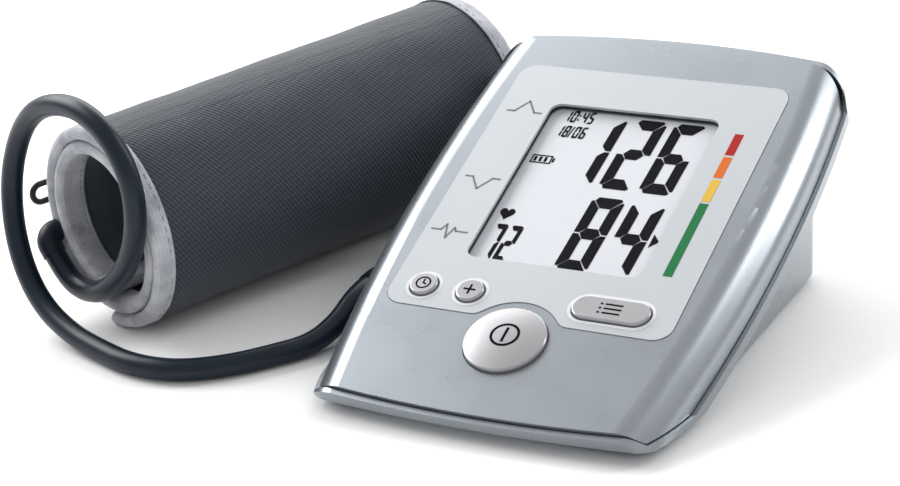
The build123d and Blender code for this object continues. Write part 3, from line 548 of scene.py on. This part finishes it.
def digit_shapes(width, height, bar, wall, gap):
    """The seven mitred bars of a digit whose lower left corner is at the origin."""
    middle = height / 2
    half = bar / 2
    nick = wall * 0.45
    upper_left = [
        (0, middle + gap),
        (wall * 0.5, middle + gap),
        (wall, middle + half),
        (wall, height - bar - gap / 2),
        (nick / 2, height - nick),
        (0, height - nick - gap),
    ]
    top = [
        (nick + gap, height),
        (width - nick, height),
        (width - nick / 2, height - nick / 2),
        (width - wall - gap / 2, height - bar),
        (wall + gap / 2, height - bar),
        (nick / 2 + gap, height - nick),
    ]
    shapes = {
        "top": top,
        "upper_left": upper_left,
        "upper_right": [(width - x, y) for x, y in reversed(upper_left)],
        "middle": [
            (wall * 0.5 + gap, middle),
            (wall + gap / 2, middle + half),
            (width - wall - gap / 2, middle + half),
            (width - wall * 0.5 - gap, middle),
            (width - wall - gap / 2, middle - half),
            (wall + gap / 2, middle - half),
        ],
    }
    shapes["lower_left"] = [(x, height - y) for x, y in reversed(upper_left)]
    shapes["lower_right"] = [(width - x, height - y) for x, y in upper_left]
    shapes["bottom"] = [(x, height - y) for x, y in reversed(top)]
    return shapes


def draw_number(mesh, number, left, bottom, style):
    """Draws the digits of a number; a space leaves one place free."""
    pitch, width, height, bar, wall, gap, lean = style
    shapes = digit_shapes(width, height, bar, wall, gap)
    for place, digit in enumerate(number):
        for part in DIGIT_PARTS.get(digit, "").split():
            draw_outline(
                mesh,
                [(left + place * pitch + x + lean * y / height, bottom + y) for x, y in shapes[part]],
            )


def draw_heart(mesh, centre, size):
    """A heart from the usual sine and cosine formula."""
    points = []
    for step in range(28):
        turn = -2 * pi * step / 28
        x = 16 * sin(turn) ** 3
        y = 13 * cos(turn) - 5 * cos(2 * turn) - 2 * cos(3 * turn) - cos(4 * turn)
        points.append((centre[0] + size * x / 34, centre[1] + size * y / 30))
    draw_outline(mesh, points)


class DisplayOptions(bpy.types.PropertyGroup):
    upper: bpy.props.StringProperty(name="Upper reading", description="Upper pressure", default="126")
    lower: bpy.props.StringProperty(name="Lower reading", description="Lower pressure", default=" 84")
    pulse: bpy.props.StringProperty(name="Pulse", description="Beats in a minute", default="72")
    clock: bpy.props.StringProperty(name="Clock", description="Hours and minutes", default="1045")
    day: bpy.props.StringProperty(name="Date", description="Day and month", default="1806")


class MONITOR_OT_display(bpy.types.Operator):
    """Draws the readings on the display."""

    bl_idname = "monitor.display"
    bl_label = "Display readings"

    def execute(self, context):
        options = context.scene.monitor_display
        large = bmesh.new()
        for number, bottom in ((options.upper, UPPER_BOTTOM), (options.lower, LOWER_BOTTOM)):
            draw_number(large, number, LARGE_LEFT, bottom, LARGE_DIGITS)
        printed("pressure_readings", large, PANEL_H, "print_black", "unit")
        small = bmesh.new()
        draw_number(small, options.pulse, PULSE_LEFT, LOWER_BOTTOM, PULSE_DIGITS)
        draw_heart(small, (-21.0, 19.0), 4.6)
        draw_outline(small, [(21.4, 18.2), (21.4, 13.2), (23.6, 15.7)])
        for number, bottom in ((options.clock, CLOCK_BOTTOM), (options.day, DAY_BOTTOM)):
            for pair, left in zip((number[:2], number[2:]), PAIR_LEFTS):
                draw_number(small, pair, left, bottom, SMALL_DIGITS)
            if bottom == CLOCK_BOTTOM:
                for dot in (bottom + 1.2, bottom + 3.0):
                    draw_stroke(small, [(MARK_MIDDLE - 0.05, dot), (MARK_MIDDLE + 0.05, dot)], 0.5)
            else:
                slash = [(MARK_MIDDLE - 0.3, bottom + 0.3), (MARK_MIDDLE + 0.3, bottom + 4.3)]
                draw_stroke(small, slash, 0.35)
        # a battery sign where the unit of pressure would stand
        draw_stroke(small, [(-23.0, 39.4), (-17.4, 39.4), (-17.4, 42.2), (-23.0, 42.2), (-23.0, 39.4)], 0.4)
        draw_stroke(small, [(-16.7, 40.3), (-16.7, 41.3)], 0.6)
        for bar in range(3):
            draw_stroke(small, [(-22.0 + 1.5 * bar, 40.3), (-22.0 + 1.5 * bar, 41.3)], 0.8)
        printed("small_readings", small, PANEL_H, "print_black", "unit")
        return {"FINISHED"}


class MONITOR_OT_plate_print(bpy.types.Operator):
    """Prints the colour scale, the signs beside the display and the rings round the keys on the plate."""

    bl_idname = "monitor.plate_print"
    bl_label = "Face plate print"

    def execute(self, context):
        for name, finish, low, high in SCALE_BARS:
            bar = bmesh.new()
            corners = [(SCALE_LEFT, low), (SCALE_RIGHT, low), (SCALE_RIGHT, high), (SCALE_LEFT, high)]
            draw_outline(bar, corners)
            printed(name, bar, PLATE_H, finish, "unit")
        rings = bmesh.new()
        for spot in (PLUS_AT, TIME_AT):
            draw_ring(rings, spot, 4.95, 4.12)
        draw_ring(rings, MEMORY_AT, 5.1, 4.25, stretch=13.2)
        printed("key_rings", rings, PLATE_H, "key_ring_white", "unit")
        signs = bmesh.new()
        for points, width in PLATE_SIGNS:
            draw_stroke(signs, points, width)
        printed("plate_signs", signs, PLATE_H, "print_grey", "unit")
        return {"FINISHED"}


class MONITOR_OT_key_print(bpy.types.Operator):
    """Prints a plain sign on each key."""

    bl_idname = "monitor.key_print"
    bl_label = "Key signs"

    def execute(self, context):
        power = bmesh.new()
        draw_ring(power, (START_AT[0], START_AT[1] + 0.6), 3.9, 3.2)
        draw_stroke(power, [(START_AT[0], START_AT[1] - 1.5), (START_AT[0], START_AT[1] + 2.7)], 0.75)
        sphere_radius = (START_RADIUS**2 + START_DOME**2) / (2 * START_DOME)
        for vert in power.verts:
            out = Vector((vert.co.x - START_AT[0], vert.co.y - START_AT[1])).length
            vert.co.z += START_DOME - out**2 / (2 * sphere_radius)
        printed("start_sign", power, START_KEY_H, "print_black", "start_button")
        plus = bmesh.new()
        u, v = PLUS_AT
        draw_stroke(plus, [(u - 1.4, v), (u + 1.4, v)], 0.55)
        draw_stroke(plus, [(u, v - 1.4), (u, v - 0.3)], 0.55)
        draw_stroke(plus, [(u, v + 0.3), (u, v + 1.4)], 0.55)
        printed("plus_sign", plus, SMALL_KEY_H, "print_black", "plus_button")
        clock = bmesh.new()
        u, v = TIME_AT
        draw_ring(clock, (u, v), 2.1, 1.65, segments=40)
        draw_stroke(clock, [(u, v + 1.1), (u, v), (u + 0.8, v - 0.4)], 0.42)
        printed("time_sign", clock, SMALL_KEY_H, "print_black", "time_button")
        pages = bmesh.new()
        u, v = MEMORY_AT
        for row in (-1.5, 0.0, 1.5):
            draw_stroke(pages, [(u - 1.6, v + row), (u + 2.6, v + row)], 0.5)
            draw_stroke(pages, [(u - 3.0, v + row), (u - 2.8, v + row)], 0.5)
        printed("memory_sign", pages, SMALL_KEY_H, "print_black", "memory_button")
        return {"FINISHED"}


# The cuff

def roll_point(turn, depth, reach):
    """A point of the rolled strip in millimetres: half turns from its outer end, depth under its outer
    face, and reach along the roll."""
    index = min(floor(turn), HALF_TURNS - 1)
    radius = (
        CUFF_NEAR_RADIUS
        + (CUFF_FAR_RADIUS - CUFF_NEAR_RADIUS) * reach / CUFF_LENGTH
        - ROLL_STEP * index
    )
    bottom = 2 * ROLL_STEP * ((index + 1) // 2)
    angle = -pi / 2 - pi * turn
    side = (radius - depth) * cos(angle)
    height = bottom + radius + (radius - depth) * sin(angle)
    return CUFF_ORIGIN + CUFF_SIDE * side + CUFF_AXIS * reach + Vector((0, 0, height))


def arc_length(turn):
    """Length of the strip from its outer end, in millimetres, for the cloth's pattern."""
    length = 0.0
    for index in range(HALF_TURNS):
        share = max(0.0, min(1.0, turn - index))
        length += share * pi * (CUFF_NEAR_RADIUS - ROLL_STEP * index)
    return length


def rolled_sheet(grid, place):
    """A grid of so many steps laid on the roll. place gives, for two shares from 0 to 1, the half turns,
    the depth and the reach of a point, and how far along its width the cloth's pattern is there, in
    millimetres."""
    mesh = bmesh.new()
    uv_layer = mesh.loops.layers.uv.new("UVMap")
    bmesh.ops.create_grid(mesh, x_segments=grid[0], y_segments=grid[1], size=0.5)
    pattern = {}
    for vert in mesh.verts:
        turn, depth, reach, width = place(vert.co.x + 0.5, vert.co.y + 0.5)
        pattern[vert] = (arc_length(turn) * MM, width * MM)
        vert.co = roll_point(turn, depth, reach) * MM
    for face in mesh.faces:
        for loop in face.loops:
            loop[uv_layer].uv = pattern[loop.vert]
    return mesh


def puckers(turn, reach, wave, depth):
    """Small waves in the cloth, the same each time."""
    place = Vector((arc_length(turn) / wave, reach / wave, 3.7))
    return depth * noise.noise(place)


def cloth_piece(name, mesh, finish, thickness, offset):
    """A smooth cloth piece of the cuff, thickened by a Solidify modifier: towards the roll's middle if
    offset is 1, both ways if it is 0."""
    piece = new_piece(name, mesh, finish, "cuff")
    smooth(piece)
    wall = piece.modifiers.new("Wall", "SOLIDIFY")
    wall.thickness = thickness * MM
    wall.offset = offset
    return piece


def tucked(reach):
    """1 where the cloth lies free and less where it goes under the tapes."""
    overlap = TAPE_WIDTH - TAPE_OUTSIDE
    return max(0.0, min(1.0, (min(reach, CUFF_LENGTH - reach) + overlap) / 3 + 0.6))


class MONITOR_OT_cuff(bpy.types.Operator):
    """Makes the rolled cuff: the ribbed cloth outside and the lining inside."""

    bl_idname = "monitor.cuff"
    bl_label = "Rolled cuff"

    def execute(self, context):
        low = -TAPE_WIDTH + CLOTH_SETBACK
        high = CUFF_LENGTH + TAPE_WIDTH - CLOTH_SETBACK

        def outside(round_share, reach_share):
            turn = HALF_TURNS * round_share
            reach = low + (high - low) * reach_share
            free = tucked(reach)
            depth = 0.1 + 0.4 * (1 - free) + free * puckers(turn, reach, *OUTER_PUCKERS)
            return turn, depth, reach, reach

        def inside(round_share, reach_share):
            turn = HALF_TURNS * round_share
            reach = low + (high - low) * reach_share
            free = tucked(reach)
            depth = STRIP_DEPTH - 0.9 + free * (0.4 + puckers(turn, reach, *LINING_PUCKERS))
            return turn, depth, reach, reach

        outer_sheet = rolled_sheet(CLOTH_GRID, outside)
        cloth = cloth_piece("cuff_cloth", outer_sheet, "cuff_cloth", CLOTH_THICKNESS, 1.0)
        inner_sheet = rolled_sheet(CLOTH_GRID, inside)
        lining = cloth_piece(
            "cuff_inner_cloth", inner_sheet, "lining_cloth", LINING_THICKNESS, 0.0
        )
        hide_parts("cuff_shell", "cuff_padding", "air_bladder")
        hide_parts("cuff_lining")
        return {"FINISHED"}


def tape_section(share):
    """The folded tape's section: out along the outer face, round the edge and back inside. Gives depth and
    distance from the strip's edge."""
    bulge = STRIP_DEPTH / 2 + TAPE_THICKNESS / 2
    run = TAPE_OUTSIDE - bulge
    fold = pi * bulge
    place = share * (run + fold + TAPE_WIDTH - bulge)
    if place < run:
        return STRIP_DEPTH / 2 - bulge, TAPE_OUTSIDE - place
    if place < run + fold:
        angle = (place - run) / bulge
        return STRIP_DEPTH / 2 - bulge * cos(angle), bulge - bulge * sin(angle)
    return STRIP_DEPTH / 2 + bulge, bulge + place - run - fold


class MONITOR_OT_tapes(bpy.types.Operator):
    """Folds the pale tape round the cuff's two edges and its two ends."""

    bl_idname = "monitor.tapes"
    bl_label = "Edge tapes"

    def execute(self, context):
        for name, node, edge, inward in (
            ("near_tape", "near_edge_tape", -TAPE_WIDTH, 1),
            ("far_tape", "far_edge_tape", CUFF_LENGTH + TAPE_WIDTH, -1),
        ):
            def beside_edge(round_share, fold_share, edge=edge, inward=inward):
                turn = HALF_TURNS * round_share
                depth, distance = tape_section(fold_share)
                wrinkle = puckers(turn, distance, *TAPE_PUCKERS)
                return turn, depth + wrinkle, edge + inward * distance, fold_share * 2 * TAPE_WIDTH

            sheet = rolled_sheet(EDGE_TAPE_GRID, beside_edge)
            tape = cloth_piece(name, sheet, "edge_tape", TAPE_THICKNESS, 0.0)
            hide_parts(node)
        for name, end_turn, inward in (("outer_end_tape", 0, 1), ("inner_end_tape", HALF_TURNS, -1)):
            def beside_end(fold_share, reach_share, end_turn=end_turn, inward=inward):
                depth, distance = tape_section(fold_share)
                turn = end_turn + inward * (distance - TAPE_THICKNESS) / (pi * CUFF_NEAR_RADIUS)
                reach = -TAPE_WIDTH + 0.4 + (CUFF_LENGTH + 2 * TAPE_WIDTH - 0.8) * reach_share
                return turn, depth, reach, reach

            sheet = rolled_sheet(END_TAPE_GRID, beside_end)
            cloth_piece(name, sheet, "edge_tape", TAPE_THICKNESS, 0.0)
        return {"FINISHED"}


def stitch(mesh, start, end, width):
    """One stitch: a thread that shows between two points in millimetres."""
    run = end - start
    turn = run.to_track_quat("X", "Z").to_matrix().to_4x4()
    shape = Matrix.Diagonal((run.length / 2, width / 2, width / 2, 1.0))
    bmesh.ops.create_icosphere(
        mesh, subdivisions=1, radius=1.0, matrix=Matrix.Translation((start + end) / 2) @ turn @ shape
    )


class MONITOR_OT_stitches(bpy.types.Operator):
    """Sews the tapes down and puts a seam across the lining."""

    bl_idname = "monitor.stitches"
    bl_label = "Stitches"

    def execute(self, context):
        grey = bmesh.new()
        inside_depth = STRIP_DEPTH + TAPE_THICKNESS
        rows = (
            (0.02, 1.98, -TAPE_THICKNESS, -3.9),
            (0.02, 1.98, -TAPE_THICKNESS, CUFF_LENGTH + 3.9),
            (2.02, 3.96, inside_depth, -1.4),
        )
        for first, last, depth, reach in rows:
            step = STITCH_PITCH / (pi * CUFF_NEAR_RADIUS)
            for index in range(int((last - first) / step)):
                turn = first + index * step
                start = roll_point(turn, depth, reach)
                end = roll_point(turn + step * STITCH_LENGTH / STITCH_PITCH, depth, reach)
                stitch(grey, start, end, THREAD_WIDTH)
        dark = bmesh.new()
        depth = STRIP_DEPTH - 0.2
        for turn in LINING_SEAM_TURNS:
            for index in range(LINING_STITCHES):
                start = 2 + index * STITCH_PITCH
                end = roll_point(turn, depth, start + STITCH_LENGTH)
                stitch(dark, roll_point(turn, depth, start), end, THREAD_WIDTH)
        for name, mesh, finish, slot in (
            ("tape_stitches", grey, "thread_grey", "edge_tape"),
            ("lining_stitches", dark, "thread_dark", "lining_fabric"),
        ):
            mesh.transform(Matrix.Scale(MM, 4))
            smooth(new_piece(name, mesh, finish, "cuff"))
        return {"FINISHED"}


# The hose

class MONITOR_OT_hose(bpy.types.Operator):
    """Lays the air hose along its route, from the plug in the unit to the elbow on the cuff."""

    bl_idname = "monitor.hose"
    bl_label = "Air hose"

    def execute(self, context):
        curve = bpy.data.curves.new("air_hose_curve", "CURVE")
        curve.dimensions = "3D"
        curve.resolution_u = 10
        curve.bevel_depth = HOSE_RADIUS * MM
        curve.bevel_resolution = 6
        curve.use_fill_caps = True
        line = curve.splines.new("NURBS")
        line.points.add(len(HOSE_POINTS) - 1)
        for point, place in zip(line.points, HOSE_POINTS):
            point.co = (*(part * MM for part in place), 1.0)
        line.order_u = 3
        line.use_endpoint_u = True
        curve.materials.append(finish_named("hose_rubber"))
        hose = bpy.data.objects.new("hose", curve)
        context.scene.collection.objects.link(hose)
        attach(hose, "cuff")
        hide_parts("air_hose")
        return {"FINISHED"}


# The CAD pieces that keep their shape

NODE_FINISHES = {
    "body_silver": ("top_cover", "bottom_case", "battery_door"),
    "plate_silver": ("face_plate",),
    "key_silver": ("start_button", "plus_button", "time_button", "memory_button"),
    "display_white": ("display_panel",),
    "lens": ("window_lens",),
    "inner_white": ("display_holder", "pump_head", "release_valve"),
    "inner_black": ("button_switches", "buzzer", "pressure_sensor", "battery_cells"),
    "soft_grey": ("contact_strip", "inner_tube"),
    "foot_rubber": ("rubber_feet",),
    "fitting_dark": ("air_socket", "hose_plug", "cuff_elbow"),
    "circuit_green": ("circuit_board",),
    "zinc_steel": ("case_screws", "battery_contacts", "pump_motor"),
    "ring_black": ("closing_ring",),
    "webbing": ("ring_loop",),
}


class MONITOR_OT_finish_nodes(bpy.types.Operator):
    """Gives each CAD piece that shows as it is its own finish."""

    bl_idname = "monitor.finish_nodes"
    bl_label = "CAD finishes"

    def execute(self, context):
        for finish, nodes in NODE_FINISHES.items():
            for node in nodes:
                piece = frame["nodes"][node]
                piece.data.materials.clear()
                piece.data.materials.append(finish_named(finish))
        return {"FINISHED"}


# The stage

# Lamps: name, place, width and height, and power in watts
LAMPS = (
    ("lamp_left", (-1.05, 0.1, 0.8), (0.8, 0.8), 15.0),
    ("lamp_back", (-0.5, 0.9, 0.72), (1.5, 0.75), 12.0),
    ("lamp_right", (0.78, 0.65, 0.72), (0.3, 0.9), 5.0),
)
FLOOR_SIZE = 6.0


class StageOptions(bpy.types.PropertyGroup):
    floor_colour: bpy.props.FloatVectorProperty(
        name="Floor", description="Colour of the floor", subtype="COLOR", default=(0.93, 0.93, 0.93)
    )
    sky: bpy.props.FloatProperty(
        name="Sky", description="Strength of the even light from all round", default=0.64, min=0.0
    )


class MONITOR_OT_stage(bpy.types.Operator):
    """Sets the floor, the lamps, the world and the camera."""

    bl_idname = "monitor.stage"
    bl_label = "Floor, lamps and camera"

    def execute(self, context):
        options = context.scene.monitor_stage
        floor_mesh = bmesh.new()
        bmesh.ops.create_grid(floor_mesh, x_segments=1, y_segments=1, size=FLOOR_SIZE)
        data = bpy.data.meshes.new("floor")
        floor_mesh.to_mesh(data)
        floor_mesh.free()
        floor_piece = bpy.data.objects.new("floor", data)
        context.scene.collection.objects.link(floor_piece)
        paper = Finish("floor_paper", 0.9, specular_ior_level=0.1)
        cloud = paper.noise(paper.place(), 0.5, 2.0)
        paper.set("Base Color", paper.mix(cloud, tuple(options.floor_colour), (0.95, 0.95, 0.95)))
        data.materials.append(paper.material)

        world = bpy.data.worlds.new("studio")
        world.use_nodes = True
        context.scene.world = world
        tree = world.node_tree
        background = tree.nodes["Background"]
        path = tree.nodes.new("ShaderNodeLightPath")
        seen = tree.nodes.new("ShaderNodeMath")
        seen.operation = "MULTIPLY_ADD"
        tree.links.new(path.outputs["Is Camera Ray"], seen.inputs[0])
        seen.inputs[1].default_value = 1.0 - options.sky
        seen.inputs[2].default_value = options.sky
        background.inputs["Color"].default_value = (1.0, 1.0, 1.0, 1.0)
        tree.links.new(seen.outputs[0], background.inputs["Strength"])

        for name, place, size, power in LAMPS:
            light = bpy.data.lights.new(name, "AREA")
            light.shape = "RECTANGLE"
            light.size, light.size_y = size
            light.energy = power
            lamp = bpy.data.objects.new(name, light)
            lamp.location = place
            lamp.rotation_euler = (-Vector(place)).to_track_quat("-Z", "Y").to_euler()
            context.scene.collection.objects.link(lamp)

        camera_data = bpy.data.cameras.new("photo_camera")
        camera_data.lens = CAMERA_LENS
        camera_data.sensor_width = 36.0
        camera_data.clip_start = 0.01
        camera = bpy.data.objects.new("photo_camera", camera_data)
        right = Vector(CAMERA_RIGHT).normalized()
        back = right.cross(Vector(CAMERA_UP)).normalized()
        up = back.cross(right)
        camera.matrix_world = Matrix.Translation(CAMERA_AT) @ Matrix((right, up, back)).transposed().to_4x4()
        context.scene.collection.objects.link(camera)
        context.scene.camera = camera
        context.scene.view_settings.view_transform = "Standard"
        return {"FINISHED"}


class MONITOR_PT_panel(bpy.types.Panel):
    """Lists the monitor's pieces and their settings."""

    bl_label = "Blood pressure monitor"
    bl_idname = "MONITOR_PT_panel"
    bl_space_type = "VIEW_3D"
    bl_region_type = "UI"
    bl_category = "Monitor"

    def draw(self, context):
        layout = self.layout
        for group, names in (
            (context.scene.monitor_display, ("upper", "lower", "pulse", "clock", "day")),
            (context.scene.monitor_stage, ("floor_colour", "sky")),
        ):
            for name in names:
                layout.prop(group, name)
        for operator in OPERATORS:
            layout.operator(operator.bl_idname)


OPERATORS = (
    MONITOR_OT_stage,
    MONITOR_OT_hose,
    MONITOR_OT_finish_nodes,
    MONITOR_OT_display,
    MONITOR_OT_plate_print,
    MONITOR_OT_key_print,
    MONITOR_OT_cuff,
    MONITOR_OT_tapes,
    MONITOR_OT_stitches,
)
CLASSES = (DisplayOptions, StageOptions, *OPERATORS, MONITOR_PT_panel)


def register():
    for item in CLASSES:
        bpy.utils.register_class(item)
    bpy.types.Scene.monitor_display = bpy.props.PointerProperty(type=DisplayOptions)
    bpy.types.Scene.monitor_stage = bpy.props.PointerProperty(type=StageOptions)


def unregister():
    del bpy.types.Scene.monitor_stage
    del bpy.types.Scene.monitor_display
    for item in reversed(CLASSES):
        bpy.utils.unregister_class(item)


def main():
    """Runs every step in order."""
    register()
    bpy.ops.monitor.stage()
    bpy.ops.monitor.hose()
    bpy.ops.monitor.finish_nodes()
    bpy.ops.monitor.display()
    bpy.ops.monitor.plate_print()
    bpy.ops.monitor.key_print()
    bpy.ops.monitor.cuff()
    bpy.ops.monitor.tapes()
    bpy.ops.monitor.stitches()


if __name__ == "__main__":
    main()
